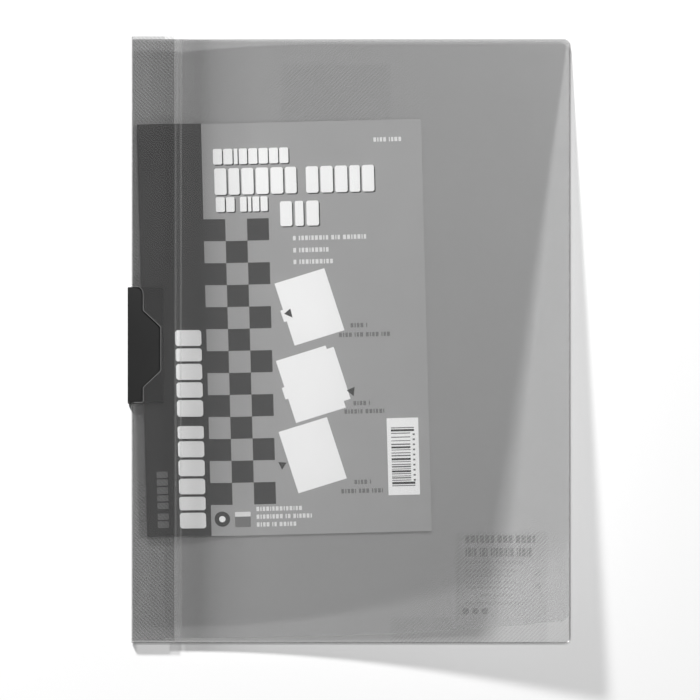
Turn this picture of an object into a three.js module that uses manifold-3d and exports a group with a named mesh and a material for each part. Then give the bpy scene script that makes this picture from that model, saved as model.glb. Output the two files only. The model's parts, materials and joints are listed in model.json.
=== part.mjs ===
// An A4 clip folder of translucent film, with a pull-out clip and a printed card in it. Lengths are in millimetres.
// The folder lies on its back cover. X runs from the folded spine to the open side, Y up the page, Z up from the table.
import * as THREE from 'three';
import { mergeVertices } from 'three/addons/utils/BufferGeometryUtils.js';
import Module from 'manifold-3d';

// Back sheet: back cover, spine and front strip folded from one film.
const COVER_WIDTH = 220;
const COVER_HEIGHT = 310;
const BACK_FILM = 0.45;
const SPINE_DEPTH = 6.5;
const STRIP_WIDTH = 21.5;
const FOLD_RADIUS = 1.2;
const CORNER_RADIUS = 4;

// Front sheet: a margin welded under the strip, and the leaf that opens at the crease.
const FRONT_FILM = 0.4;
const WELD_WIDTH = 4.7;
const CREASE_X = 24.2;
const CREASE_GAP = 0.4;
const LEAF_END_INSET = 1.5;
const LEAF_SIDE_INSET = 0.4;
const LEAF_DROOP_REACH = 75;
const LEAF_CORNER_LIFT = 32;

// Window cut through spine and strip, where the clip shows.
const WINDOW_CENTRE_Y = -2.9;
const WINDOW_LENGTH = 59.5;
const WINDOW_DEPTH = 5.8;
const WINDOW_TOP_RADIUS = 4.5;
const WINDOW_BOTTOM_RADIUS = 1;
const NOTCH_SHIFT = -2.4;
const NOTCH_REACH = 14.6;
const NOTCH_BASE = 39.4;
const NOTCH_END = 22.4;
const NOTCH_RADIUS = 1.6;

// Clip: a channel whose two jaws hold the card, with ears that stop it leaving the spine.
const CLIP_GAP = 0.3;
const CLIP_PROUD = 1.9;
const CLIP_BACK = 1.6;
const CLIP_JAW = 1.2;
const CLIP_EDGE_RADIUS = 0.6;
const CLIP_REACH = 16.2;
const CLIP_TRAVEL = 11;
const LIP_WIDTH = 2;
const EAR_LENGTH = 3.5;
const EAR_STOP_GAP = 0.1;

// Printed card held by the clip, and the label stuck to the outside of the back cover.
const CARD_WIDTH = 142.6;
const CARD_HEIGHT = 211.6;
const CARD_THICKNESS = 0.25;
const CARD_CENTRE_X = 76.6;
const CARD_CENTRE_Y = 6.4;
const CARD_TURN = THREE.MathUtils.degToRad(1.45);
const CARD_GRIP = 14;
const CARD_BEND_END = 48;
const LAY_GAP = 0.1;
const LABEL_WIDTH = 44;
const LABEL_HEIGHT = 43.5;
const LABEL_THICKNESS = 0.1;
const LABEL_CENTRE_X = 186.2;
const LABEL_CENTRE_Y = -120.2;

// How finely round shapes are divided.
const FOLD_STEPS = 6;
const ARC_STEPS = 8;
const BEND_STEPS = 20;
const LEAF_COLUMNS = 30;
const LEAF_ROWS = 12;

// Heights that follow from the sizes above.
const BACK_BOTTOM = LABEL_THICKNESS;
const BACK_TOP = BACK_BOTTOM + BACK_FILM;
const STRIP_TOP = BACK_BOTTOM + SPINE_DEPTH;
const STRIP_BOTTOM = STRIP_TOP - BACK_FILM;
const FRONT_BOTTOM = STRIP_BOTTOM - FRONT_FILM;
const CLIP_BOTTOM = BACK_TOP + CLIP_GAP;
const CLIP_TOP = STRIP_BOTTOM - CLIP_GAP;
const GRIP_HEIGHT = (CLIP_BOTTOM + CLIP_TOP) / 2;
const CARD_LOW = BACK_TOP + LAY_GAP;
const LEAF_LOW = CARD_LOW + CARD_THICKNESS + LAY_GAP;

const wasm = await Module();
wasm.setup();

function toManifold(geometry) {
  const bare = geometry.clone();
  bare.deleteAttribute('normal');
  bare.deleteAttribute('uv');
  const merged = mergeVertices(bare, 1e-4);
  return new wasm.Manifold(new wasm.Mesh({
    numProp: 3,
    vertProperties: new Float32Array(merged.attributes.position.array),
    triVerts: new Uint32Array(merged.index.array),
  }));
}

function toGeometry(solid) {
  const mesh = solid.getMesh();
  const geometry = new THREE.BufferGeometry();
  geometry.setAttribute('position', new THREE.BufferAttribute(new Float32Array(mesh.vertProperties), 3));
  geometry.setIndex(new THREE.BufferAttribute(new Uint32Array(mesh.triVerts), 1));
  geometry.computeVertexNormals();
  return geometry;
}

// A plan outline in X and Y, raised from one height to another.
function raise(shape, low, high) {
  const geometry = new THREE.ExtrudeGeometry(shape, { depth: high - low, bevelEnabled: false, curveSegments: ARC_STEPS });
  return geometry.translate(0, 0, low);
}

// A cross-section in X and Z, drawn out along Y and centred on one place.
function drawAlongY(shape, length, centreY, steps) {
  const geometry = new THREE.ExtrudeGeometry(shape, { depth: length, bevelEnabled: false, curveSegments: steps });
  return geometry.rotateX(Math.PI / 2).translate(0, centreY + length / 2, 0);
}

// A closed outline through corners that each have their own radius.
function roundedOutline(corners) {
  const shape = new THREE.Shape();
  corners.forEach(([x, y, radius], i) => {
    const here = new THREE.Vector2(x, y);
    const before = new THREE.Vector2(...corners.at(i - 1).slice(0, 2)).sub(here);
    const after = new THREE.Vector2(...corners[(i + 1) % corners.length].slice(0, 2)).sub(here);
    const setback = radius / Math.tan(Math.abs(before.angleTo(after)) / 2);
    const start = here.clone().addScaledVector(before.normalize(), setback);
    const end = here.clone().addScaledVector(after.normalize(), setback);
    if (i === 0) {
      shape.moveTo(start.x, start.y);
    } else {
      shape.lineTo(start.x, start.y);
    }
    if (radius > 0) {
      shape.quadraticCurveTo(x, y, end.x, end.y);
    }
  });
  shape.closePath();
  return shape;
}

function material(color, roughness, opacity = 1) {
  return new THREE.MeshStandardMaterial({ color, roughness, metalness: 0, transparent: opacity < 1, opacity });
}

function part(name, geometry, finish) {
  const mesh = new THREE.Mesh(geometry, finish);
  mesh.name = name;
  return mesh;
}

// The film folded round the spine, seen from its end: back cover, spine and strip.
function foldedSection() {
  const inner = FOLD_RADIUS - BACK_FILM;
  const section = new THREE.Shape();
  section.moveTo(COVER_WIDTH, BACK_BOTTOM);
  section.lineTo(COVER_WIDTH, BACK_TOP);
  section.lineTo(FOLD_RADIUS, BACK_TOP);
  section.absarc(FOLD_RADIUS, BACK_BOTTOM + FOLD_RADIUS, inner, -Math.PI / 2, -Math.PI, true);
  section.lineTo(BACK_FILM, STRIP_TOP - FOLD_RADIUS);
  section.absarc(FOLD_RADIUS, STRIP_TOP - FOLD_RADIUS, inner, Math.PI, Math.PI / 2, true);
  section.lineTo(STRIP_WIDTH, STRIP_BOTTOM);
  section.lineTo(STRIP_WIDTH, STRIP_TOP);
  section.lineTo(FOLD_RADIUS, STRIP_TOP);
  section.absarc(FOLD_RADIUS, STRIP_TOP - FOLD_RADIUS, FOLD_RADIUS, Math.PI / 2, Math.PI, false);
  section.lineTo(0, BACK_BOTTOM + FOLD_RADIUS);
  section.absarc(FOLD_RADIUS, BACK_BOTTOM + FOLD_RADIUS, FOLD_RADIUS, Math.PI, 1.5 * Math.PI, false);
  section.closePath();
  return section;
}

function coverOutline() {
  const beyondSpine = -CLIP_PROUD;
  return roundedOutline([
    [beyondSpine, -COVER_HEIGHT / 2, 0],
    [COVER_WIDTH, -COVER_HEIGHT / 2, CORNER_RADIUS],
    [COVER_WIDTH, COVER_HEIGHT / 2, CORNER_RADIUS],
    [beyondSpine, COVER_HEIGHT / 2, 0],
  ]);
}

function windowOutline() {
  const beyondSpine = -CLIP_PROUD;
  const top = WINDOW_CENTRE_Y + WINDOW_LENGTH / 2;
  const bottom = WINDOW_CENTRE_Y - WINDOW_LENGTH / 2;
  const notchY = WINDOW_CENTRE_Y + NOTCH_SHIFT;
  return roundedOutline([
    [beyondSpine, bottom, 0],
    [WINDOW_DEPTH, bottom, WINDOW_BOTTOM_RADIUS],
    [WINDOW_DEPTH, notchY - NOTCH_BASE / 2, NOTCH_RADIUS],
    [NOTCH_REACH, notchY - NOTCH_END / 2, NOTCH_RADIUS],
    [NOTCH_REACH, notchY + NOTCH_END / 2, NOTCH_RADIUS],
    [WINDOW_DEPTH, notchY + NOTCH_BASE / 2, NOTCH_RADIUS],
    [WINDOW_DEPTH, top, WINDOW_TOP_RADIUS],
    [beyondSpine, top, 0],
  ]);
}

function backSheet() {
  const overlength = COVER_HEIGHT + 2 * CORNER_RADIUS;
  const folded = toManifold(drawAlongY(foldedSection(), overlength, 0, FOLD_STEPS));
  const trimmed = folded.intersect(toManifold(raise(coverOutline(), BACK_BOTTOM - BACK_FILM, STRIP_TOP + BACK_FILM)));
  const window = toManifold(raise(windowOutline(), BACK_TOP, STRIP_TOP + BACK_FILM));
  return part('back_sheet', toGeometry(trimmed.subtract(window)), material(0x9a9a9a, 0.45, 0.6));
}

// The fixed margin of the front sheet, face to face with the underside of the strip.
function frontMargin() {
  const left = STRIP_WIDTH - WELD_WIDTH;
  const right = CREASE_X - CREASE_GAP / 2;
  const height = COVER_HEIGHT - 2 * LEAF_END_INSET;
  const geometry = new THREE.BoxGeometry(right - left, height, FRONT_FILM);
  geometry.translate((left + right) / 2, 0, FRONT_BOTTOM + FRONT_FILM / 2);
  return part('front_margin', geometry, material(0xa6a6a6, 0.35, 0.6));
}

// Underside of the leaf at its top edge: it sinks from the crease until it lies on the sheets below.
function leafTopEdge(x) {
  const droop = Math.max(0, 1 - (x - CREASE_X) / LEAF_DROOP_REACH);
  return LEAF_LOW + (FRONT_BOTTOM - LEAF_LOW) * droop ** 2;
}

// Underside of the leaf at its bottom edge: it springs up towards the open corner.
function leafBottomEdge(x) {
  const across = (x - CREASE_X) / (COVER_WIDTH - CREASE_X);
  return FRONT_BOTTOM + LEAF_CORNER_LIFT * across ** 2;
}

// The leaf is a ruled sheet: each column is a straight line of full length from top edge to bottom edge.
function frontCover() {
  const left = CREASE_X + CREASE_GAP / 2;
  const right = COVER_WIDTH - LEAF_SIDE_INSET;
  const length = COVER_HEIGHT - 2 * LEAF_END_INSET;
  const roundStart = right - CORNER_RADIUS;
  const columns = [];
  for (let i = 0; i <= LEAF_COLUMNS; i += 1) {
    columns.push(THREE.MathUtils.lerp(left, roundStart, i / LEAF_COLUMNS));
  }
  for (let i = 1; i <= ARC_STEPS; i += 1) {
    columns.push(roundStart + CORNER_RADIUS * Math.sin((i / ARC_STEPS) * Math.PI / 2));
  }
  const segments = columns.length - 1;
  const geometry = new THREE.BoxGeometry(1, 1, 1, segments, LEAF_ROWS, 1);
  const point = geometry.attributes.position;
  for (let i = 0; i < point.count; i += 1) {
    const x = columns[Math.round((point.getX(i) + 0.5) * segments)];
    const intoRound = Math.max(0, x - roundStart);
    const cornerCut = (CORNER_RADIUS - Math.sqrt(Math.max(0, CORNER_RADIUS ** 2 - intoRound ** 2))) / length;
    const share = THREE.MathUtils.lerp(cornerCut, 1 - cornerCut, 0.5 - point.getY(i));
    const rise = leafBottomEdge(x) - leafTopEdge(x);
    const y = length / 2 - share * Math.sqrt(length ** 2 - rise ** 2);
    const z = leafTopEdge(x) + share * rise + (point.getZ(i) + 0.5) * FRONT_FILM;
    point.setXYZ(i, x, y, z);
  }
  return part('front_cover', geometry, material(0xa6a6a6, 0.35, 0.6));
}

function clipSection() {
  const outer = -CLIP_PROUD;
  const inner = outer + CLIP_BACK;
  const lip = CLIP_REACH - LIP_WIDTH;
  const mouth = CARD_THICKNESS / 2 + CLIP_GAP;
  return roundedOutline([
    [outer, CLIP_BOTTOM, CLIP_EDGE_RADIUS],
    [CLIP_REACH, CLIP_BOTTOM, 0],
    [CLIP_REACH, GRIP_HEIGHT - mouth, 0],
    [lip, GRIP_HEIGHT - mouth, 0],
    [lip, CLIP_BOTTOM + CLIP_JAW, 0],
    [inner, CLIP_BOTTOM + CLIP_JAW, 0],
    [inner, CLIP_TOP - CLIP_JAW, 0],
    [lip, CLIP_TOP - CLIP_JAW, 0],
    [lip, GRIP_HEIGHT + mouth, 0],
    [CLIP_REACH, GRIP_HEIGHT + mouth, 0],
    [CLIP_REACH, CLIP_TOP, 0],
    [outer, CLIP_TOP, CLIP_EDGE_RADIUS],
  ]);
}

function clip() {
  const channelLength = WINDOW_LENGTH - 2 * CLIP_GAP;
  const earStart = FOLD_RADIUS + EAR_STOP_GAP + CLIP_TRAVEL;
  const channel = toManifold(drawAlongY(clipSection(), channelLength, WINDOW_CENTRE_Y, ARC_STEPS));
  const ears = new THREE.BoxGeometry(CLIP_REACH - earStart, channelLength + 2 * EAR_LENGTH, CLIP_JAW);
  ears.translate((earStart + CLIP_REACH) / 2, WINDOW_CENTRE_Y, CLIP_BOTTOM + CLIP_JAW / 2);
  return part('clip', toGeometry(channel.add(toManifold(ears))), material(0x1c1c1c, 0.6));
}

// The card is level between the jaws, then bends down to lie on the back cover.
function insertCard() {
  const gripLevel = GRIP_HEIGHT - CARD_THICKNESS / 2;
  const bend = [];
  for (let i = 0; i <= BEND_STEPS; i += 1) {
    const x = THREE.MathUtils.lerp(CARD_GRIP, CARD_BEND_END, i / BEND_STEPS);
    bend.push([x, THREE.MathUtils.lerp(gripLevel, CARD_LOW, THREE.MathUtils.smoothstep(x, CARD_GRIP, CARD_BEND_END))]);
  }
  const underside = [[0, gripLevel], ...bend, [CARD_WIDTH, CARD_LOW]];
  const upperside = underside.map(([x, z]) => [x, z + CARD_THICKNESS]).reverse();
  const section = new THREE.Shape([...underside, ...upperside].map(([x, z]) => new THREE.Vector2(x, z)));
  const geometry = drawAlongY(section, CARD_HEIGHT, 0, ARC_STEPS).translate(-CARD_WIDTH / 2, 0, 0);
  const card = part('insert_card', geometry, material(0xb0b0b0, 0.7));
  card.rotation.z = CARD_TURN;
  card.position.set(CARD_CENTRE_X, CARD_CENTRE_Y, 0);
  return card;
}

function backLabel() {
  const label = part(
    'back_label',
    new THREE.BoxGeometry(LABEL_WIDTH, LABEL_HEIGHT, LABEL_THICKNESS),
    material(0xd8d8d8, 0.6, 0.9),
  );
  label.position.set(LABEL_CENTRE_X, LABEL_CENTRE_Y, LABEL_THICKNESS / 2);
  return label;
}

const folder = new THREE.Group();
folder.add(backSheet(), frontMargin(), frontCover(), clip(), insertCard(), backLabel());
folder.position.x = -(COVER_WIDTH - CLIP_PROUD) / 2;

export default folder;
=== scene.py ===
"""Looks of an A4 clip folder: its two films with ribs and creases, the clip, the printed card and the label.

Lengths are in metres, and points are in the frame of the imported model."""

import json
import math

import bmesh
import bpy
from mathutils import Matrix, Vector


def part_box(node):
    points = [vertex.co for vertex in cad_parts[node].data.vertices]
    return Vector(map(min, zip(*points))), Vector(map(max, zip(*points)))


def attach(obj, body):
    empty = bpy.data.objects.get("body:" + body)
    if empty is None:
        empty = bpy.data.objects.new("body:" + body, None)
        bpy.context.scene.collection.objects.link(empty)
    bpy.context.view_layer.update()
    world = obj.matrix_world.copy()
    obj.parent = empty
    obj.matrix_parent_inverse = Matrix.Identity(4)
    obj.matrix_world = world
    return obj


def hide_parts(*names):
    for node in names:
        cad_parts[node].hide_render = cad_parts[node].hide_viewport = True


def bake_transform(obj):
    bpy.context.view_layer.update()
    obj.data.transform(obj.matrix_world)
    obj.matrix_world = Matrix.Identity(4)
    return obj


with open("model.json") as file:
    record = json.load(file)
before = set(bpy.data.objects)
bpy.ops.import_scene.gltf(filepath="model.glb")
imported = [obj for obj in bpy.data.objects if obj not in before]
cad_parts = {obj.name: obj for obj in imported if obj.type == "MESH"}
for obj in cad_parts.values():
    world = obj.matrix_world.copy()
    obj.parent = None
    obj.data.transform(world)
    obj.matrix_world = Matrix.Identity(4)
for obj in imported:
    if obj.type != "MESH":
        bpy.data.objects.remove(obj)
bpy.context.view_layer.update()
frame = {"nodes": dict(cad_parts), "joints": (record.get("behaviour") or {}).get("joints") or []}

MM = 0.001

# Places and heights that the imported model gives.
back_low, back_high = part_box("back_sheet")
margin_low, margin_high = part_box("front_margin")
leaf_low, leaf_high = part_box("front_cover")
label_low, label_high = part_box("back_label")
clip_low, clip_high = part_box("clip")
SPINE_X = back_low.x
OPEN_X = back_high.x
HALF_HEIGHT = back_high.y
BACK_BOTTOM = back_low.z
STRIP_TOP = back_high.z
FRONT_BOTTOM = margin_low.z
FRONT_FILM = margin_high.z - margin_low.z
LEAF_LOW = leaf_low.z
LEAF_HALF = margin_high.y
GRIP_HEIGHT = (clip_low.z + clip_high.z) / 2
CREASE_X, _, HINGE_Z = frame["joints"][0]["pos_m"]

# Sizes of the films.
BACK_FILM = 0.45 * MM
STRIP_WIDTH = 21.5 * MM
WELD_WIDTH = 4.7 * MM
FOLD_RADIUS = 1.2 * MM
CORNER_RADIUS = 4 * MM
LEAF_DROOP_REACH = 75 * MM
LEAF_CORNER_LIFT = 32 * MM
RIB_PITCH = 2.05 * MM
RIB_DEPTH = 0.07 * MM
RIB_CUTS = 4
# Strength of the light and shade painted on the ribs as tint, of the highlight painted on their crests as
# haze, and the share of both away from the strip and the patches.
RIB_PAINTED_LIGHT_AND_SHADE = 0.18
RIB_PAINTED_HIGHLIGHT = 0.35
RIB_ELSEWHERE = 0.25
PATCH_FADE = 0.8 * MM
# Width and play of the bead that paints a highlight on the window's cut edge.
RIM_WIDTH = 0.22 * MM
RIM_PLAY = 0.01 * MM

# Parts of the back cover where the light and shade painted on its ribs is stronger, from the spine: left,
# right, bottom, top and share.
RIB_PAINTED_LIGHT_PATCHES = [
    (163 * MM, 208.5 * MM, -142 * MM, -98 * MM, 0.8),
    (75 * MM, 130 * MM, 100 * MM, 142 * MM, 0.55),
    (130 * MM, 208.5 * MM, -156 * MM, -142 * MM, 0.6),
]
CREASE_OFFSETS = (-2.0 * MM, 0.45 * MM)
CREASE_DEPTH = 0.14 * MM
CREASE_WIDTH = 0.4 * MM
# Highlight painted along the creases' groove and fold line, as haze added to the film.
CREASE_PAINTED_HIGHLIGHT = 0.11

# Tint of the front film by the distance from the spine in millimetres: darkest at the weld, clear over the
# creases, with painted shade beside the creases where the leaf bends down to the card, and clear from there
# on.
LEAF_TINT_AND_PAINTED_SHADE_STOPS = [
    (16, 0.77),
    (21.5, 0.77),
    (21.6, 1),
    (24.7, 0.97),
    (25.5, 0.9),
    (34, 0.86),
    (40.5, 0.925),
    (46, 0.96),
    (55, 0.98),
    (64, 1),
]

# Window through strip and spine.
WINDOW_CENTRE_Y = -2.9 * MM
WINDOW_LENGTH = 59.5 * MM
WINDOW_DEPTH = 5.8 * MM
WINDOW_TOP_RADIUS = 4.5 * MM
WINDOW_BOTTOM_RADIUS = 1 * MM
NOTCH_SHIFT = -2.4 * MM
NOTCH_REACH = 14.6 * MM
NOTCH_BASE = 39.4 * MM
NOTCH_END = 22.4 * MM
NOTCH_RADIUS = 1.6 * MM

CLIP_ROUNDING = 0.3 * MM

# Card and its print, in the card's own millimetres from its lower left corner.
CARD_WIDTH = 142.6
CARD_HEIGHT = 211.6
CARD_THICKNESS = 0.25
CARD_CENTRE = Vector((SPINE_X + 76.6 * MM, 6.4 * MM, 0))
CARD_TURN = math.radians(1.45)
CARD_GRIP = 14
CARD_BEND_END = 48
CARD_LOW = 0.65
INK = 0.02
BAND_WIDTH = 32.2
CHECK_WIDTH = 10.9
CHECK_HEIGHT = 11.28
CHECK_COLUMNS = 3
CHECK_ROWS = 13
CHECK_BOTTOM = 15.9

# Thickness of each bar of the code, and the space above it.
CODE_BARS = [
    (0.5, 0.5), (1.2, 0.6), (0.5, 0.6), (0.7, 0.4), (0.4, 0.7), (0.5, 0.5), (1.0, 0.5), (0.4, 0.6),
    (0.8, 0.5), (0.5, 0.9), (0.4, 0.6), (1.1, 0.9), (0.7, 0.8), (0.5, 1.1), (0.4, 0.6), (1.0, 0.7),
    (0.7, 1.3), (0.4, 1.4), (0.5, 1.5), (0.5, 0.7), (1.1, 0.5), (0.5, 0),
]
PAGE_TURN = 16.2

# The label's marks: how far they stand out of its faces, and widths of the large marks and of the bars below.
LABEL_MARK = 0.01 * MM
LABEL_DIGITS = [2.0, 2.2, 1.2, 2.2, 2.0, 1.8, 0, 2.2, 2.2, 2.0, 0, 2.2, 2.2, 2.1, 1.4]
LABEL_BARS = [
    0.9, 1.6, 0.5, 1.2, 0, 0.6, 1.8, 0.5, 0, 0.9, 0.6, 1.4,
    1.8, 0.5, 0.9, 0.6, 1.6, 0, 0.5, 1.2, 1.8, 0.6, 1.4,
]
LETTER_WIDTHS = (0.62, 0.3, 0.55, 0.62, 0.24, 0.5, 0.66)

# Camera: the photo looks at the folder from its bottom edge's side, a little off the vertical.
CAMERA_TILT = math.radians(12.3)
CAMERA_SPAN = 350.9 * MM
CAMERA_AIM = Vector((0.5 * MM, -4.5 * MM, 0))
CAMERA_DISTANCE = 1.5

# Stage
LAMP_DISTANCE = 3
FLOOR_REACH = 2
INSET = 0.6 * MM
UNDER_SHEET_Z = -0.1 * MM
UNDER_SHEET_GREY = 0.85
FLOOR_Z = -0.2 * MM
FLOOR_GREY = 0.9
WORLD_LIGHT = 0.08

# Lamps: name, azimuth, elevation, size and light
FOLDER_LAMPS = [
    ("overhead", -90, 70, 0.9, 0.06),
    ("right", 0, 42, 0.5, 0.84),
    ("top", 90, 45, 0.3, 0.56),
    ("bottom", -90, 38, 0.5, 0.3),
]
FLOOR_LAMP = ("window", 120, 47, 0.4, 1.1)

# Share of the light that one face of a film mirrors, seen head on.
FACE_GLOSS = 0.007

# Scale of the films' fine grain and of their uneven gloss, and the height of the grain.
FILM_GRAIN = 900
FILM_CLOUD = 14
FILM_GRAIN_DEPTH = 0.05 * MM

# Edges sharper than this aren't shaded smooth.
SHARP_ANGLE = math.radians(35)

# Mesh attributes that the film materials read: a tint that carries painted light and shade, and painted
# highlights added to the haze.
FILM_TINT_AND_SHADE = "tint_with_painted_shade"
FILM_PAINTED_HIGHLIGHT = "haze_with_painted_highlight"


# Node materials

def new_material(name):
    made = bpy.data.materials.new(name)
    made.use_nodes = True
    made.node_tree.nodes.clear()
    return made, made.node_tree.nodes, made.node_tree.links


def noise(nodes, links, scale, detail):
    """A noise pattern fixed to the object."""
    place = nodes.new("ShaderNodeTexCoord")
    pattern = nodes.new("ShaderNodeTexNoise")
    pattern.inputs["Scale"].default_value = scale
    pattern.inputs["Detail"].default_value = detail
    links.new(place.outputs["Object"], pattern.inputs["Vector"])
    return pattern.outputs["Fac"]


def ramp(nodes, links, source, low, high):
    """Turns a 0 to 1 pattern into a value between low and high."""
    spread = nodes.new("ShaderNodeMapRange")
    spread.inputs["From Min"].default_value = 0.3
    spread.inputs["From Max"].default_value = 0.7
    spread.inputs["To Min"].default_value = low
    spread.inputs["To Max"].default_value = high
    links.new(source, spread.inputs["Value"])
    return spread.outputs["Result"]


def bump(nodes, links, source, strength, distance):
    made = nodes.new("ShaderNodeBump")
    made.inputs["Strength"].default_value = strength
    made.inputs["Distance"].default_value = distance
    links.new(source, made.inputs["Height"])
    return made.outputs["Normal"]


def mix(nodes, links, share, first, second):
    made = nodes.new("ShaderNodeMixShader")
    if isinstance(share, (int, float)):
        made.inputs[0].default_value = share
    else:
        links.new(share, made.inputs[0])
    links.new(first, made.inputs[1])
    links.new(second, made.inputs[2])
    return made.outputs[0]


def calculate(nodes, links, operation, source, value):
    made = nodes.new("ShaderNodeMath")
    made.operation = operation
    made.inputs[1].default_value = value
    links.new(source, made.inputs[0])
    return made.outputs[0]


def film_material(name, clear, haze, straight_haze, slant_haze, roughness, gloss):
    """Translucent film: see-through head on, and milkier at a slant, with a faint sheen.

    clear is the tint of one face and haze the grey of the scattered light. The two haze shares are how much
    of the light is scattered head on and at a slant. The mesh's attributes vary the tint, which carries
    painted light and shade, and add painted highlights to the haze."""
    made, nodes, links = new_material(name)
    tint = nodes.new("ShaderNodeAttribute")
    tint.attribute_name = FILM_TINT_AND_SHADE
    tone = calculate(nodes, links, "MULTIPLY", tint.outputs["Fac"], clear)
    grey = nodes.new("ShaderNodeCombineColor")
    for channel in ("Red", "Green", "Blue"):
        links.new(tone, grey.inputs[channel])
    through = nodes.new("ShaderNodeBsdfTransparent")
    links.new(grey.outputs["Color"], through.inputs["Color"])
    grain = noise(nodes, links, FILM_GRAIN, 4)
    cloud = noise(nodes, links, FILM_CLOUD, 3)
    normal = bump(nodes, links, grain, 0.25, FILM_GRAIN_DEPTH)
    back_scatter = nodes.new("ShaderNodeBsdfDiffuse")
    back_scatter.inputs["Color"].default_value = (haze, haze, haze, 1)
    forward_scatter = nodes.new("ShaderNodeBsdfTranslucent")
    forward_scatter.inputs["Color"].default_value = (haze, haze, haze, 1)
    sheen = nodes.new("ShaderNodeBsdfGlossy")
    sheen.inputs["Color"].default_value = (gloss, gloss, gloss, 1)
    for shader in (back_scatter, forward_scatter, sheen):
        links.new(normal, shader.inputs["Normal"])
    links.new(ramp(nodes, links, cloud, roughness * 0.85, roughness * 1.15), sheen.inputs["Roughness"])
    slant = nodes.new("ShaderNodeLayerWeight")
    slant.inputs["Blend"].default_value = 0.5
    share = nodes.new("ShaderNodeMapRange")
    share.inputs["To Min"].default_value = straight_haze
    share.inputs["To Max"].default_value = slant_haze
    links.new(slant.outputs["Facing"], share.inputs["Value"])
    highlight_node = nodes.new("ShaderNodeAttribute")
    highlight_node.attribute_name = FILM_PAINTED_HIGHLIGHT
    haze_plus_highlight = nodes.new("ShaderNodeMath")
    links.new(share.outputs["Result"], haze_plus_highlight.inputs[0])
    links.new(highlight_node.outputs["Fac"], haze_plus_highlight.inputs[1])
    scatter = mix(nodes, links, 0.5, back_scatter.outputs[0], forward_scatter.outputs[0])
    body = mix(nodes, links, haze_plus_highlight.outputs[0], through.outputs[0], scatter)
    glancing = calculate(nodes, links, "POWER", slant.outputs["Facing"], 5)
    mirrored = calculate(nodes, links, "MULTIPLY", glancing, 0.9)
    coated = mix(nodes, links, calculate(nodes, links, "ADD", mirrored, FACE_GLOSS), body, sheen.outputs[0])
    out = nodes.new("ShaderNodeOutputMaterial")
    links.new(coated, out.inputs["Surface"])
    return made


def solid_material(name, grey, roughness, specular, grain_scale, grain_depth, variation=0.06):
    """An opaque surface with a fine grain and a slight unevenness of tone and gloss."""
    made, nodes, links = new_material(name)
    shader = nodes.new("ShaderNodeBsdfPrincipled")
    cloud = noise(nodes, links, 60, 4)
    tone = ramp(nodes, links, cloud, grey * (1 - variation), grey * (1 + variation))
    combined = nodes.new("ShaderNodeCombineColor")
    for channel in ("Red", "Green", "Blue"):
        links.new(tone, combined.inputs[channel])
    links.new(combined.outputs["Color"], shader.inputs["Base Color"])
    links.new(ramp(nodes, links, cloud, roughness * 0.9, roughness * 1.1), shader.inputs["Roughness"])
    shader.inputs["Specular IOR Level"].default_value = specular
    grain = noise(nodes, links, grain_scale, 5)
    links.new(bump(nodes, links, grain, 0.4, grain_depth), shader.inputs["Normal"])
    out = nodes.new("ShaderNodeOutputMaterial")
    links.new(shader.outputs[0], out.inputs["Surface"])
    return made


RIBBED_FILM = film_material(
    "ribbed_film", clear=0.815, haze=0.22, straight_haze=0.03, slant_haze=0.16, roughness=0.38, gloss=0.8
)
SMOOTH_FILM = film_material(
    "smooth_film", clear=0.988, haze=0.35, straight_haze=0.045, slant_haze=1.0, roughness=0.25, gloss=0.8
)
CLIP_PLASTIC = solid_material("clip_plastic", 0.011, 0.5, 0.08, 1400, 0.03 * MM)
# Grey of the bead that paints a highlight on the window's cut edge.
EDGE_HIGHLIGHT_GREY = solid_material("cut_edge_painted_highlight", 0.12, 0.4, 0.3, 1400, 0.01 * MM)
CARD_STOCK = solid_material("card_stock", 0.335, 0.5, 0.3, 500, 0.01 * MM, 0.02)
INK_DARK = solid_material("ink_dark", 0.022, 0.45, 0.3, 500, 0.01 * MM, 0.05)
INK_BLACK = solid_material("ink_black", 0.012, 0.45, 0.3, 500, 0.01 * MM, 0.05)
INK_GREY = solid_material("ink_grey", 0.15, 0.45, 0.3, 500, 0.01 * MM, 0.05)
INK_WHITE = solid_material("ink_white", 0.95, 0.5, 0.3, 500, 0.01 * MM, 0.01)
INK_PALE = solid_material("ink_pale", 0.75, 0.5, 0.3, 500, 0.01 * MM, 0.02)
LABEL_PAPER = solid_material("label_paper", 0.88, 0.6, 0.2, 700, 0.01 * MM, 0.02)
SHOW_BOLD = solid_material("print_bold_through_paper", 0.55, 0.6, 0.2, 500, 0.01 * MM, 0.03)
SHOW_FAINT = solid_material("print_faint_through_paper", 0.7, 0.6, 0.2, 500, 0.01 * MM, 0.03)
LABEL_INK = solid_material("label_ink", 0.05, 0.6, 0.2, 500, 0.01 * MM, 0.05)


# Mesh helpers

def paint(mesh, name, value):
    """Stores a value that depends on the place as a point attribute."""
    attribute = mesh.attributes.new(name, "FLOAT", "POINT")
    for vert, item in zip(mesh.vertices, attribute.data):
        item.value = value(vert.co)


def between_stops(stops, x):
    """Follows straight lines from stop to stop, each a place and a value."""
    for (start, low), (end, high) in zip(stops, stops[1:]):
        if x <= end:
            return low + (high - low) * max(0, x - start) / (end - start)
    return stops[-1][1]


def new_object(name, mesh, material):
    made = bpy.data.objects.new(name, mesh)
    bpy.context.scene.collection.objects.link(made)
    mesh.materials.append(material)
    return made


def finish_mesh(bm, name, material):
    """Makes an object of bm, shaded smooth except at its sharp edges."""
    bmesh.ops.recalc_face_normals(bm, faces=bm.faces[:])
    mesh = bpy.data.meshes.new(name)
    bm.to_mesh(mesh)
    bm.free()
    mesh.shade_smooth()
    mesh.set_sharp_from_angle(angle=SHARP_ANGLE)
    return new_object(name, mesh, material)


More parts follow.
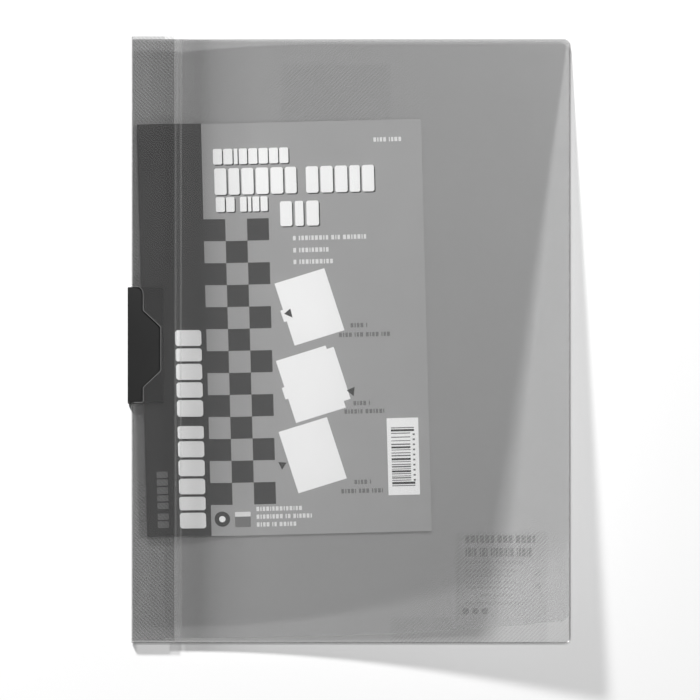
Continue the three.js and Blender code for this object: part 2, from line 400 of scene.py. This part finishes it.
def film_shell(net, upper, lower, fused_until=None):
    """Closes a flat net into a film: its faces on both sides, and a wall round every free edge.

    Up to fused_until the upper side is left open, because there the film is one with what lies on it."""
    net.verts.index_update()
    shell = bmesh.new()
    tops = [shell.verts.new(upper(v.co.x, v.co.y)) for v in net.verts]
    bottoms = [shell.verts.new(lower(v.co.x, v.co.y)) for v in net.verts]
    for face in net.faces:
        ring = [v.index for v in face.verts]
        if fused_until is None or face.calc_center_median().x > fused_until:
            shell.faces.new([tops[i] for i in ring])
        shell.faces.new([bottoms[i] for i in reversed(ring)])
    for edge in net.edges:
        if edge.is_boundary:
            loop = edge.link_loops[0]
            a, b = loop.vert.index, loop.link_loop_next.vert.index
            shell.faces.new([tops[b], tops[a], bottoms[a], bottoms[b]])
    net.free()
    return shell


def grid_net(columns, rows):
    net = bmesh.new()
    verts = [[net.verts.new((x, y, 0)) for y in rows] for x in columns]
    for i in range(len(columns) - 1):
        for j in range(len(rows) - 1):
            net.faces.new([verts[i][j], verts[i + 1][j], verts[i + 1][j + 1], verts[i][j + 1]])
    return net


def cut(net, x, y, normal):
    everything = net.verts[:] + net.edges[:] + net.faces[:]
    bmesh.ops.bisect_plane(net, geom=everything, dist=1e-7, plane_co=(x, y, 0), plane_no=normal)


def spaced(start, end, count):
    return [start + (end - start) * i / count for i in range(count + 1)]


def rounded_outline(corners, steps=6):
    """Points of a closed outline, each corner given as x, y and radius."""
    points = []
    for i, (x, y, radius) in enumerate(corners):
        here = Vector((x, y))
        before = Vector(corners[i - 1][:2]) - here
        after = Vector(corners[(i + 1) % len(corners)][:2]) - here
        if radius == 0:
            points.append(here)
            continue
        setback = radius / math.tan(before.angle(after) / 2)
        start = here + before.normalized() * setback
        end = here + after.normalized() * setback
        for t in spaced(0, 1, steps):
            points.append(start.lerp(here, t).lerp(here.lerp(end, t), t))
    return points


# The back film: back cover, spine and strip, ribbed on its outer side

STRIP_FLAT = STRIP_WIDTH - FOLD_RADIUS
FOLD_ARC = FOLD_RADIUS * math.pi / 2
SPINE_FLAT = STRIP_TOP - BACK_BOTTOM - 2 * FOLD_RADIUS
COVER_FLAT = OPEN_X - SPINE_X - FOLD_RADIUS
TOP_FOLD = STRIP_FLAT
SPINE_START = TOP_FOLD + FOLD_ARC
BOTTOM_FOLD = SPINE_START + SPINE_FLAT
COVER_START = BOTTOM_FOLD + FOLD_ARC
BLANK_WIDTH = COVER_START + COVER_FLAT


def fold(u):
    """Where the outer face of the unfolded film comes to lie, and the way it looks, both in X and Z."""
    fold_x = SPINE_X + FOLD_RADIUS
    if u <= TOP_FOLD:
        return Vector((SPINE_X + STRIP_WIDTH - u, STRIP_TOP)), Vector((0, 1))
    if u <= SPINE_START:
        turn = (u - TOP_FOLD) / FOLD_RADIUS
        out = Vector((-math.sin(turn), math.cos(turn)))
        return Vector((fold_x, STRIP_TOP - FOLD_RADIUS)) + out * FOLD_RADIUS, out
    if u <= BOTTOM_FOLD:
        return Vector((SPINE_X, STRIP_TOP - FOLD_RADIUS - (u - SPINE_START))), Vector((-1, 0))
    if u <= COVER_START:
        turn = (u - BOTTOM_FOLD) / FOLD_RADIUS
        out = Vector((-math.cos(turn), -math.sin(turn)))
        return Vector((fold_x, BACK_BOTTOM + FOLD_RADIUS)) + out * FOLD_RADIUS, out
    return Vector((fold_x + u - COVER_START, BACK_BOTTOM)), Vector((0, -1))


def rib(u, v):
    """Depth of the embossing below the film's outer face."""
    return RIB_DEPTH * (0.5 - 0.5 * math.cos(2 * math.pi * (u - v) / RIB_PITCH))


def back_outer(u, v):
    point, out = fold(u)
    point = point - out * rib(u, v)
    return Vector((point.x, v, point.y))


def back_inner(u, v):
    point, out = fold(u)
    point = point - out * BACK_FILM
    return Vector((point.x, v, point.y))


def window_outline():
    """The window seen from above, counted so that the film is on the right-hand side."""
    top = WINDOW_CENTRE_Y + WINDOW_LENGTH / 2
    bottom = WINDOW_CENTRE_Y - WINDOW_LENGTH / 2
    notch_y = WINDOW_CENTRE_Y + NOTCH_SHIFT
    beyond = SPINE_X - 2 * MM
    inner = SPINE_X + WINDOW_DEPTH
    reach = SPINE_X + NOTCH_REACH
    return rounded_outline([
        (beyond, bottom, 0),
        (inner, bottom, WINDOW_BOTTOM_RADIUS),
        (inner, notch_y - NOTCH_BASE / 2, NOTCH_RADIUS),
        (reach, notch_y - NOTCH_END / 2, NOTCH_RADIUS),
        (reach, notch_y + NOTCH_END / 2, NOTCH_RADIUS),
        (inner, notch_y + NOTCH_BASE / 2, NOTCH_RADIUS),
        (inner, top, WINDOW_TOP_RADIUS),
        (beyond, top, 0),
    ])


def window_cutter():
    """The prism that opens the window, from inside the back cover up through the strip."""
    low, high = BACK_BOTTOM + BACK_FILM, STRIP_TOP + 1 * MM
    net = bmesh.new()
    net.faces.new([net.verts.new((p.x, p.y, 0)) for p in window_outline()])
    shell = film_shell(net, lambda x, y: Vector((x, y, high)), lambda x, y: Vector((x, y, low)))
    return finish_mesh(shell, "window_cutter", RIBBED_FILM)


def apply_modifiers(piece):
    bpy.context.view_layer.update()
    evaluated = piece.evaluated_get(bpy.context.evaluated_depsgraph_get())
    mesh = bpy.data.meshes.new_from_object(evaluated)
    piece.modifiers.clear()
    piece.data = mesh


def open_weld(mesh):
    """Takes away the strip's inner face at the weld, as strip and front film are one film there."""
    bm = bmesh.new()
    bm.from_mesh(mesh)
    inner = STRIP_TOP - BACK_FILM
    weld_start = SPINE_X + STRIP_WIDTH - WELD_WIDTH
    fused = [
        face
        for face in bm.faces
        if abs(face.normal.z) > 0.9
        and abs(face.calc_center_median().z - inner) < 0.01 * MM
        and face.calc_center_median().x > weld_start
    ]
    bmesh.ops.delete(bm, geom=fused, context="FACES_ONLY")
    bm.to_mesh(mesh)
    bm.free()


def painted_rib_light_strength(place):
    """Strength of the light and shade painted on the ribs: most on the strip, then in the patches of the back
    cover, and weakest elsewhere; the ribs' shape is the same everywhere.
    """
    if place.z > (STRIP_TOP + BACK_BOTTOM) / 2:
        return RIB_PAINTED_LIGHT_AND_SHADE
    for left, right, bottom, top, share in RIB_PAINTED_LIGHT_PATCHES:
        if left < place.x - SPINE_X < right and bottom < place.y < top:
            return RIB_PAINTED_LIGHT_AND_SHADE * share
    return RIB_PAINTED_LIGHT_AND_SHADE * RIB_ELSEWHERE


def crest(place):
    """1 on the crests of the outer face's ribs, -1 in their grooves, and 0 on the film's inner face."""
    depth = min(STRIP_TOP - place.z, place.z - BACK_BOTTOM, place.x - SPINE_X) / RIB_DEPTH
    return 0 if depth > 1.01 else 1 - 2 * max(0, depth)


# Light and shade painted on the ribs: the film is clearer on their crests and darker in their grooves.
def painted_rib_shade_tint(place):
    return 1 + painted_rib_light_strength(place) * crest(place)


# Highlight painted on the ribs' crests, as haze added to the film.
def painted_rib_highlight(place):
    return max(0, painted_rib_light_strength(place) * RIB_PAINTED_HIGHLIGHT * (1 + crest(place)))


def back_film():
    net = bmesh.new()
    outline = rounded_outline([
        (0, -HALF_HEIGHT, 0),
        (BLANK_WIDTH, -HALF_HEIGHT, CORNER_RADIUS),
        (BLANK_WIDTH, HALF_HEIGHT, CORNER_RADIUS),
        (0, HALF_HEIGHT, 0),
    ])
    net.faces.new([net.verts.new((p.x, p.y, 0)) for p in outline])
    folds = spaced(TOP_FOLD, SPINE_START, 6) + spaced(BOTTOM_FOLD, COVER_START, 6)
    for u in folds + [WELD_WIDTH]:
        cut(net, u, 0, (1, 0, 0))
    step = RIB_PITCH / RIB_CUTS
    first = math.ceil(-HALF_HEIGHT / step)
    last = math.floor((BLANK_WIDTH + HALF_HEIGHT) / step)
    for i in range(first, last + 1):
        cut(net, i * step, 0, (1, -1, 0))
    # Cuts along the edges of the patches where the ribs' painted light and shade is stronger.
    for left, right, bottom, top, _ in RIB_PAINTED_LIGHT_PATCHES:
        for x in (left - PATCH_FADE, left + PATCH_FADE, right - PATCH_FADE, right + PATCH_FADE):
            cut(net, COVER_START + x - FOLD_RADIUS, 0, (1, 0, 0))
        for y in (bottom - PATCH_FADE, bottom + PATCH_FADE, top - PATCH_FADE, top + PATCH_FADE):
            cut(net, 0, y, (0, 1, 0))
    film = finish_mesh(film_shell(net, back_outer, back_inner), "back_film", RIBBED_FILM)
    cutter = window_cutter()
    opening = film.modifiers.new("window", "BOOLEAN")
    opening.operation = "DIFFERENCE"
    opening.solver = "EXACT"
    opening.object = cutter
    apply_modifiers(film)
    bpy.data.objects.remove(cutter)
    open_weld(film.data)
    # The ribs' painted light and shade, and their painted highlight.
    paint(film.data, FILM_TINT_AND_SHADE, painted_rib_shade_tint)
    paint(film.data, FILM_PAINTED_HIGHLIGHT, painted_rib_highlight)
    film.data.set_sharp_from_angle(angle=SHARP_ANGLE)
    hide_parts("back_sheet")
    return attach(film, "back")


def window_rim():
    """A painted highlight on the window's cut edge in the strip: a narrow pale bead round the film's edge."""
    path = [Vector((max(p.x, SPINE_X + FOLD_RADIUS), p.y)) for p in window_outline()]
    low, high = STRIP_TOP - BACK_FILM - RIM_PLAY, STRIP_TOP + RIM_PLAY
    bm = bmesh.new()
    rings = []
    for i, point in enumerate(path):
        along = (path[min(i + 1, len(path) - 1)] - path[max(i - 1, 0)]).normalized()
        aside = Vector((along.y, -along.x))
        near, far = point - aside * RIM_PLAY, point + aside * RIM_WIDTH
        corners = ((near, low), (far, low), (far, high), (near, high))
        rings.append([bm.verts.new((p.x, p.y, z)) for p, z in corners])
    for ring, following in zip(rings, rings[1:]):
        for k in range(4):
            bm.faces.new((ring[k], ring[k - 1], following[k - 1], following[k]))
    bm.faces.new(rings[0])
    bm.faces.new(rings[-1][::-1])
    bmesh.ops.recalc_face_normals(bm, faces=bm.faces)
    rim = finish_mesh(bm, "window_rim", EDGE_HIGHLIGHT_GREY)
    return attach(rim, "back")


# The front film: a margin under the strip, two creases and the leaf

def leaf_top_edge(x):
    droop = max(0, 1 - max(0, x - CREASE_X) / LEAF_DROOP_REACH)
    return LEAF_LOW + (FRONT_BOTTOM - LEAF_LOW) * droop ** 2


def leaf_bottom_edge(x):
    across = max(0, x - CREASE_X) / (OPEN_X - CREASE_X)
    return FRONT_BOTTOM + LEAF_CORNER_LIFT * across ** 2


def crease_lines(x):
    """How near x is to the groove and to the fold line, each 1 on its line and falling to 0 beside it."""
    return [math.exp(-(((x - CREASE_X - offset) / CREASE_WIDTH) ** 2)) for offset in CREASE_OFFSETS]


def crease(x):
    """A pressed groove, then a raised fold line beside it."""
    groove, fold_line = crease_lines(x)
    return CREASE_DEPTH * (fold_line - groove)


def leaf_underside(x, share):
    """The ruled sheet: share runs from 0 at its top edge to 1 at its bottom edge, along a straight column."""
    length = 2 * LEAF_HALF
    into_round = max(0, x - (leaf_high.x - CORNER_RADIUS))
    corner_cut = (CORNER_RADIUS - math.sqrt(max(0, CORNER_RADIUS ** 2 - into_round ** 2))) / length
    along = corner_cut + share * (1 - 2 * corner_cut)
    rise = leaf_bottom_edge(x) - leaf_top_edge(x)
    y = LEAF_HALF - along * math.sqrt(length ** 2 - rise ** 2)
    return Vector((x, y, leaf_top_edge(x) + along * rise + crease(x)))


# The front film's tint, with painted shade beside the creases.
def leaf_tint_with_painted_shade(place):
    return between_stops(LEAF_TINT_AND_PAINTED_SHADE_STOPS, (place.x - SPINE_X) / MM)


# Highlight painted along the creases, as haze added to the film.
def painted_crease_highlight(place):
    return CREASE_PAINTED_HIGHLIGHT * sum(crease_lines(place.x))


def front_film():
    crease_end = CREASE_X + 2 * MM
    round_start = leaf_high.x - CORNER_RADIUS
    columns = spaced(margin_low.x, SPINE_X + STRIP_WIDTH, 4)[:-1]
    columns += spaced(SPINE_X + STRIP_WIDTH, crease_end, 50)[:-1]
    columns += spaced(crease_end, round_start, 90)[:-1]
    columns += [round_start + CORNER_RADIUS * math.sin(a) for a in spaced(0, math.pi / 2, 10)]
    rows = spaced(0, 1, 60)
    film = finish_mesh(
        film_shell(
            grid_net(columns, rows),
            lambda x, share: leaf_underside(x, share) + Vector((0, 0, FRONT_FILM)),
            leaf_underside,
            fused_until=SPINE_X + STRIP_WIDTH,
        ),
        "front_film",
        SMOOTH_FILM,
    )
    # The leaf's tint with painted shade, and the painted highlight along the creases.
    paint(film.data, FILM_TINT_AND_SHADE, leaf_tint_with_painted_shade)
    paint(film.data, FILM_PAINTED_HIGHLIGHT, painted_crease_highlight)
    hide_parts("front_margin", "front_cover")
    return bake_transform(film)


# The clip

def clip_moulding():
    mesh = frame["nodes"]["clip"].data.copy()
    mesh.materials.clear()
    bm = bmesh.new()
    bm.from_mesh(mesh)
    bmesh.ops.remove_doubles(bm, verts=bm.verts[:], dist=1e-6)
    bmesh.ops.dissolve_limit(bm, angle_limit=math.radians(1), verts=bm.verts[:], edges=bm.edges[:])
    corners = [e for e in bm.edges if len(e.link_faces) == 2 and e.calc_face_angle() > math.radians(40)]
    bmesh.ops.bevel(
        bm, geom=corners, offset=CLIP_ROUNDING, segments=3, profile=0.5, affect="EDGES", clamp_overlap=True
    )
    moulding = finish_mesh(bm, "clip_moulding", CLIP_PLASTIC)
    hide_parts("clip")
    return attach(moulding, "clip")


# The card and its print

def card_underside(x):
    """Height of the card's underside, in millimetres, at x millimetres from its held edge."""
    grip = GRIP_HEIGHT / MM - CARD_THICKNESS / 2
    t = min(1, max(0, (x - CARD_GRIP) / (CARD_BEND_END - CARD_GRIP)))
    return grip + (CARD_LOW - grip) * t * t * (3 - 2 * t)


CARD_PLACE = (
    Matrix.Translation(CARD_CENTRE)
    @ Matrix.Rotation(CARD_TURN, 4, "Z")
    @ Matrix.Scale(MM, 4)
    @ Matrix.Translation((-CARD_WIDTH / 2, -CARD_HEIGHT / 2, 0))
)
BEND_STATIONS = spaced(CARD_GRIP, CARD_BEND_END, 24)


def card_layer(net, low, high):
    """Lifts a flat net onto the card, between two heights above its underside."""
    for x in BEND_STATIONS:
        cut(net, x, 0, (1, 0, 0))
    shell = film_shell(
        net,
        lambda x, y: Vector((x, y, card_underside(x) + high)),
        lambda x, y: Vector((x, y, card_underside(x) + low)),
    )
    shell.transform(CARD_PLACE)
    return shell


def box_outline(left, bottom, right, top):
    return [(left, bottom), (right, bottom), (right, top), (left, top)]


def shifted(outline, dx, dy):
    return [(x + dx, y + dy) for x, y in outline]


def blocks(left, bottom, height, widths, gap, upright=True, cut_corner=0.12):
    """A row of plain blocks in the rhythm of a printed word. A width of 0 is a space."""
    outlines = []
    place = 0
    for width in widths:
        if width == 0:
            place += height * 0.27
            continue
        cut_x = cut_corner * width
        near, far = place, place + width
        block = [
            (near, cut_x), (near + cut_x, 0), (far - cut_x, 0), (far, cut_x),
            (far, height - cut_x), (far - cut_x, height), (near + cut_x, height), (near, height - cut_x),
        ]
        if upright:
            outlines.append([(left + x, bottom + y) for x, y in block])
        else:
            outlines.append([(left + height - y, bottom + x) for x, y in block])
        place = far + gap
    return outlines


def polygon_net(outlines):
    net = bmesh.new()
    for outline in outlines:
        net.faces.new([net.verts.new((x, y, 0)) for x, y in outline])
    bmesh.ops.recalc_face_normals(net, faces=net.faces[:])
    return net


def print_layer(name, outlines, layer, material):
    low = CARD_THICKNESS - INK
    high = CARD_THICKNESS + INK * layer
    piece = finish_mesh(card_layer(polygon_net(outlines), low, high), name, material)
    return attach(piece, "back")


def printed_card():
    net = polygon_net([box_outline(0, 0, CARD_WIDTH, CARD_HEIGHT)])
    stock = finish_mesh(card_layer(net, 0, CARD_THICKNESS), "printed_card", CARD_STOCK)
    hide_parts("insert_card")
    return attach(stock, "back")


def checkerboard():
    squares = []
    for row in range(CHECK_ROWS):
        for column in range(CHECK_COLUMNS):
            if (row + column) % 2 == 0:
                left = BAND_WIDTH + column * CHECK_WIDTH
                bottom = CHECK_BOTTOM + row * CHECK_HEIGHT
                squares.append(box_outline(left, bottom, left + CHECK_WIDTH, bottom + CHECK_HEIGHT))
    return squares


def page(centre_x, centre_y, width, height, tab=False):
    """A small white page turned a little, with a tab on its left edge if asked for."""
    turn = math.radians(PAGE_TURN)
    parts = [box_outline(-width / 2, -height / 2, width / 2, height / 2)]
    if tab:
        parts.append(box_outline(-width / 2 - 1.4, -3.6, -width / 2, 2.6))
    return [
        [
            (
                centre_x + x * math.cos(turn) - y * math.sin(turn),
                centre_y + x * math.sin(turn) + y * math.cos(turn),
            )
            for x, y in part
        ]
        for part in parts
    ]


def small_text(left, bottom, height, words):
    """A line of small plain marks, with the given number of marks in each word."""
    outlines = []
    place = left
    mark = 0
    for count in words:
        for _ in range(count):
            width = height * LETTER_WIDTHS[mark % len(LETTER_WIDTHS)]
            outlines.append(box_outline(place, bottom, place + width, bottom + height))
            place += width + 0.26 * height
            mark += 1
        place += 0.4 * height
    return outlines


def disc(centre_x, centre_y, radius, steps=24):
    angles = [2 * math.pi * i / steps for i in range(steps)]
    return [(centre_x + radius * math.cos(a), centre_y + radius * math.sin(a)) for a in angles]


def card_print():
    band = [box_outline(0, 0, BAND_WIDTH, CARD_HEIGHT)]
    print_layer("print_band", band + checkerboard(), 1, INK_DARK)

    heading = blocks(37.8, 190.6, 8.0, [4.5, 4.6, 1.9, 4.1, 4.5, 4.6, 4.5, 4.5], 0.65)
    heading += blocks(38.2, 175.0, 13.6, [6.0, 5.4, 6.0, 6.4, 6.2, 5.6, 0, 6.2, 6.2, 6.2, 5.2, 6.0], 1.1)
    heading += blocks(38.6, 166.2, 7.6, [4.5, 4.2, 0, 3.3, 1.6, 3.3, 3.5], 0.7)
    heading += blocks(70.7, 158.2, 12.8, [6.0, 4.2, 6.2], 1.5)
    side_title = [8, 6.9, 8, 8.4, 8.2, 6.5, 0, 8.5, 7.8, 8.2, 6.6, 8.1]
    heading += blocks(16.5, 3.9, 13.1, side_title, 1.3, upright=False)
    print_layer("print_shade", [shifted(o, 0.6, -0.6) for o in heading], 2, INK_BLACK)
    print_layer("print_heading", heading, 3, INK_WHITE)

    faint_title = blocks(5.4, 4.4, 5.6, [3.4, 3.2, 0, 3.2, 3, 3.4, 3.2, 3.2], 0.8, upright=False)
    print_layer("print_faint_title", faint_title, 2, INK_GREY)

    notes = small_text(118.4, 200.4, 2.2, [4, 4])
    notes += small_text(76.8, 150.8, 2.3, [1, 9, 3, 7])
    notes += small_text(76.8, 144.6, 2.3, [1, 9])
    notes += small_text(76.8, 138.6, 2.3, [1, 10])
    notes += small_text(55.0, 12.4, 2.2, [14])
    notes += small_text(55.0, 8.4, 2.2, [8, 2, 6])
    notes += small_text(55.0, 4.4, 2.2, [4, 2, 5])
    print_layer("print_notes", notes, 2, INK_PALE)

    pages = page(84.2, 116.5, 26.2, 33.4, tab=True)
    pages += page(83.9, 76.8, 26.2, 33.4, tab=True)
    pages += page(83.9, 40.4, 25.4, 33.0)
    print_layer("print_pages", pages, 2, INK_WHITE)
    print_layer("print_second_page", page(88.2, 78.9, 24, 28), 3, INK_WHITE)

    arrows = [
        [(71.4, 113.3), (75.6, 111.2), (74.6, 115.9)],
        [(101.8, 73.2), (105.2, 70.1), (105.8, 74.9)],
        [(66.6, 37.3), (68.4, 33.3), (70.7, 36.9)],
    ]
    print_layer("print_arrows", arrows, 4, INK_DARK)

    captions = []
    for left, bottom, words in (
        (104.6, 105.4, [4, 1]), (98.7, 100.6, [4, 3, 4, 3]), (105.0, 65.4, [4, 1]),
        (100.4, 61.2, [6, 6]), (104.5, 25.0, [4, 1]), (97.8, 20.4, [5, 3, 4]),
    ):
        captions += small_text(left, bottom, 2.2, words)
    print_layer("print_captions", captions, 3, INK_GREY)

    print_layer("print_badge_ring", [disc(37.8, 8.6, 3.9)], 3, INK_DARK)
    print_layer("print_badge_dot", [disc(37.8, 8.6, 1.6)], 4, INK_WHITE)
    print_layer("print_badge_square", [box_outline(44.2, 4.4, 52.0, 9.8)], 3, INK_GREY)
    print_layer("print_badge_top", [box_outline(44.2, 9.8, 52.0, 12.2)], 3, INK_PALE)

    print_layer("print_code_box", [box_outline(121.4, 18.9, 137.2, 58.4)], 2, INK_WHITE)
    bars, faint_bars = [], []
    place = 23.4
    for i, (thickness, space) in enumerate(CODE_BARS):
        right = 135.0 if i in (0, 1, len(CODE_BARS) - 2, len(CODE_BARS) - 1) else 133.0
        chosen = bars if thickness > 0.9 else faint_bars
        chosen.append(box_outline(123.4, place, right, place + thickness))
        place += thickness + space
    faint_bars += [shifted(box_outline(0, 0, 1.1, 0.9), 134.2, 26 + 2.6 * i) for i in range(10)]
    print_layer("print_code_bars", bars, 3, INK_DARK)
    print_layer("print_code_faint_bars", faint_bars, 3, INK_GREY)


# The label on the outside of the back cover

def label_piece(name, outlines, z, material):
    """Marks on one of the label's faces, in millimetres from its lower left corner as seen from above."""
    shell = film_shell(
        polygon_net(outlines),
        lambda x, y: Vector((label_low.x + x * MM, label_low.y + y * MM, z + LABEL_MARK)),
        lambda x, y: Vector((label_low.x + x * MM, label_low.y + y * MM, z - LABEL_MARK)),
    )
    marks = finish_mesh(shell, name, material)
    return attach(marks, "back")


def label_print():
    """Rows of plain marks on the label's outer face, and the same as they show through its paper."""
    bold = blocks(3.2, 38.4, 3.9, LABEL_DIGITS, 0.6)
    bold += blocks(3.2, 31.4, 4.5, LABEL_BARS, 0.45)
    faint = []
    for left, bottom, height, words in (
        (3.2, 27.8, 1.5, [13, 12]), (3.4, 23.4, 1.5, [7, 5, 9]), (3.4, 21.0, 1.5, [6, 9, 5]),
        (3.4, 17.4, 1.5, [9, 7, 5]), (3.4, 14.8, 1.5, [5, 8, 7]), (10.6, 11.0, 1.4, [6, 9]),
        (3.4, 6.8, 1.5, [8, 3, 9, 4]),
    ):
        faint += small_text(left, bottom, height, words)
    faint += [box_outline(38.4, 21.4, 40.6, 24.4), disc(39.6, 16.4, 1.5)]
    bold += [disc(3.4 + 4.8 * i, 3.4, 1.7) for i in range(3)]
    label_piece("label_lines", bold + faint, label_low.z, LABEL_INK)
    label_piece("label_bold_through", bold, label_high.z, SHOW_BOLD)
    label_piece("label_faint_through", faint, label_high.z, SHOW_FAINT)


def dress_label():
    label = frame["nodes"]["back_label"]
    label.data.materials.clear()
    label.data.materials.append(LABEL_PAPER)


# Stage: floor, lamps and camera

def floor_sheet(name, low, high, z, grey):
    mesh = bpy.data.meshes.new(name)
    corners = [(low.x, low.y, z), (high.x, low.y, z), (high.x, high.y, z), (low.x, high.y, z)]
    mesh.from_pydata(corners, [], [(0, 1, 2, 3)])
    made, nodes, links = new_material(name)
    matt = nodes.new("ShaderNodeBsdfDiffuse")
    matt.inputs["Color"].default_value = (grey, grey, grey, 1)
    out = nodes.new("ShaderNodeOutputMaterial")
    links.new(matt.outputs[0], out.inputs["Surface"])
    sheet = new_object(name, mesh, made)
    return sheet


def collection_of(name, objects):
    made = bpy.data.collections.new(name)
    for item in objects:
        made.objects.link(item)
    return made


def area_lamp(name, azimuth, elevation, size, light, lit):
    """A soft lamp that looks at the folder and lights one collection.

    Azimuth is counted from +X towards +Y, and light is what a white level sheet would show of it."""
    a, e = math.radians(azimuth), math.radians(elevation)
    away = Vector((math.cos(a) * math.cos(e), math.sin(a) * math.cos(e), math.sin(e)))
    data = bpy.data.lights.new(name, "AREA")
    data.size = size
    data.energy = light * math.pi ** 2 * LAMP_DISTANCE ** 2 / math.sin(e)
    lamp = bpy.data.objects.new(name, data)
    lamp.location = away * LAMP_DISTANCE
    lamp.rotation_mode = "QUATERNION"
    lamp.rotation_quaternion = away.to_track_quat("Z", "Y")
    lamp.light_linking.receiver_collection = lit
    bpy.context.scene.collection.objects.link(lamp)
    return lamp


def world_light(strength):
    """Soft light from all round. The camera, and what mirrors or refracts, sees plain white instead."""
    world = bpy.data.worlds.new("studio")
    bpy.context.scene.world = world
    world.use_nodes = True
    nodes, links = world.node_tree.nodes, world.node_tree.links
    nodes.clear()
    soft = nodes.new("ShaderNodeBackground")
    soft.inputs["Color"].default_value = (1, 1, 1, 1)
    soft.inputs["Strength"].default_value = strength
    seen = nodes.new("ShaderNodeBackground")
    seen.inputs["Color"].default_value = (1, 1, 1, 1)
    path = nodes.new("ShaderNodeLightPath")
    direct = nodes.new("ShaderNodeMath")
    direct.operation = "ADD"
    links.new(path.outputs["Is Camera Ray"], direct.inputs[0])
    links.new(path.outputs["Is Glossy Ray"], direct.inputs[1])
    either = nodes.new("ShaderNodeMath")
    either.operation = "ADD"
    either.use_clamp = True
    links.new(direct.outputs[0], either.inputs[0])
    links.new(path.outputs["Is Transmission Ray"], either.inputs[1])
    pick = nodes.new("ShaderNodeMixShader")
    links.new(either.outputs[0], pick.inputs[0])
    links.new(soft.outputs[0], pick.inputs[1])
    links.new(seen.outputs[0], pick.inputs[2])
    out = nodes.new("ShaderNodeOutputWorld")
    links.new(pick.outputs[0], out.inputs["Surface"])


def photo_camera():
    data = bpy.data.cameras.new("camera")
    data.type = "ORTHO"
    data.ortho_scale = CAMERA_SPAN
    data.clip_start = 0.01
    data.clip_end = 10
    camera = bpy.data.objects.new("camera", data)
    back = Vector((0, -math.sin(CAMERA_TILT), math.cos(CAMERA_TILT)))
    camera.location = CAMERA_AIM + back * CAMERA_DISTANCE
    camera.rotation_euler = (CAMERA_TILT, 0, 0)
    bpy.context.scene.collection.objects.link(camera)
    bpy.context.scene.camera = camera


photo_camera()
back_film()
window_rim()
front_film()
clip_moulding()
printed_card()
card_print()
dress_label()
label_print()

pieces = [item for item in bpy.data.objects if item.type == "MESH"]
sheet_low, sheet_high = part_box("back_sheet")
inset = Vector((INSET, INSET, 0))
under_low, under_high = sheet_low + inset, sheet_high - inset
under_sheet = floor_sheet("floor_under_folder", under_low, under_high, UNDER_SHEET_Z, UNDER_SHEET_GREY)
reach = Vector((FLOOR_REACH, FLOOR_REACH, 0))
floor = floor_sheet("floor", -reach, reach, FLOOR_Z, FLOOR_GREY)
near = collection_of("lit_folder", pieces + [under_sheet])
far = collection_of("lit_floor", [floor])
world_light(WORLD_LIGHT)
for lamp in FOLDER_LAMPS:
    area_lamp(*lamp, near)
area_lamp(*FLOOR_LAMP, far)
bpy.context.scene.view_settings.view_transform = "Standard"
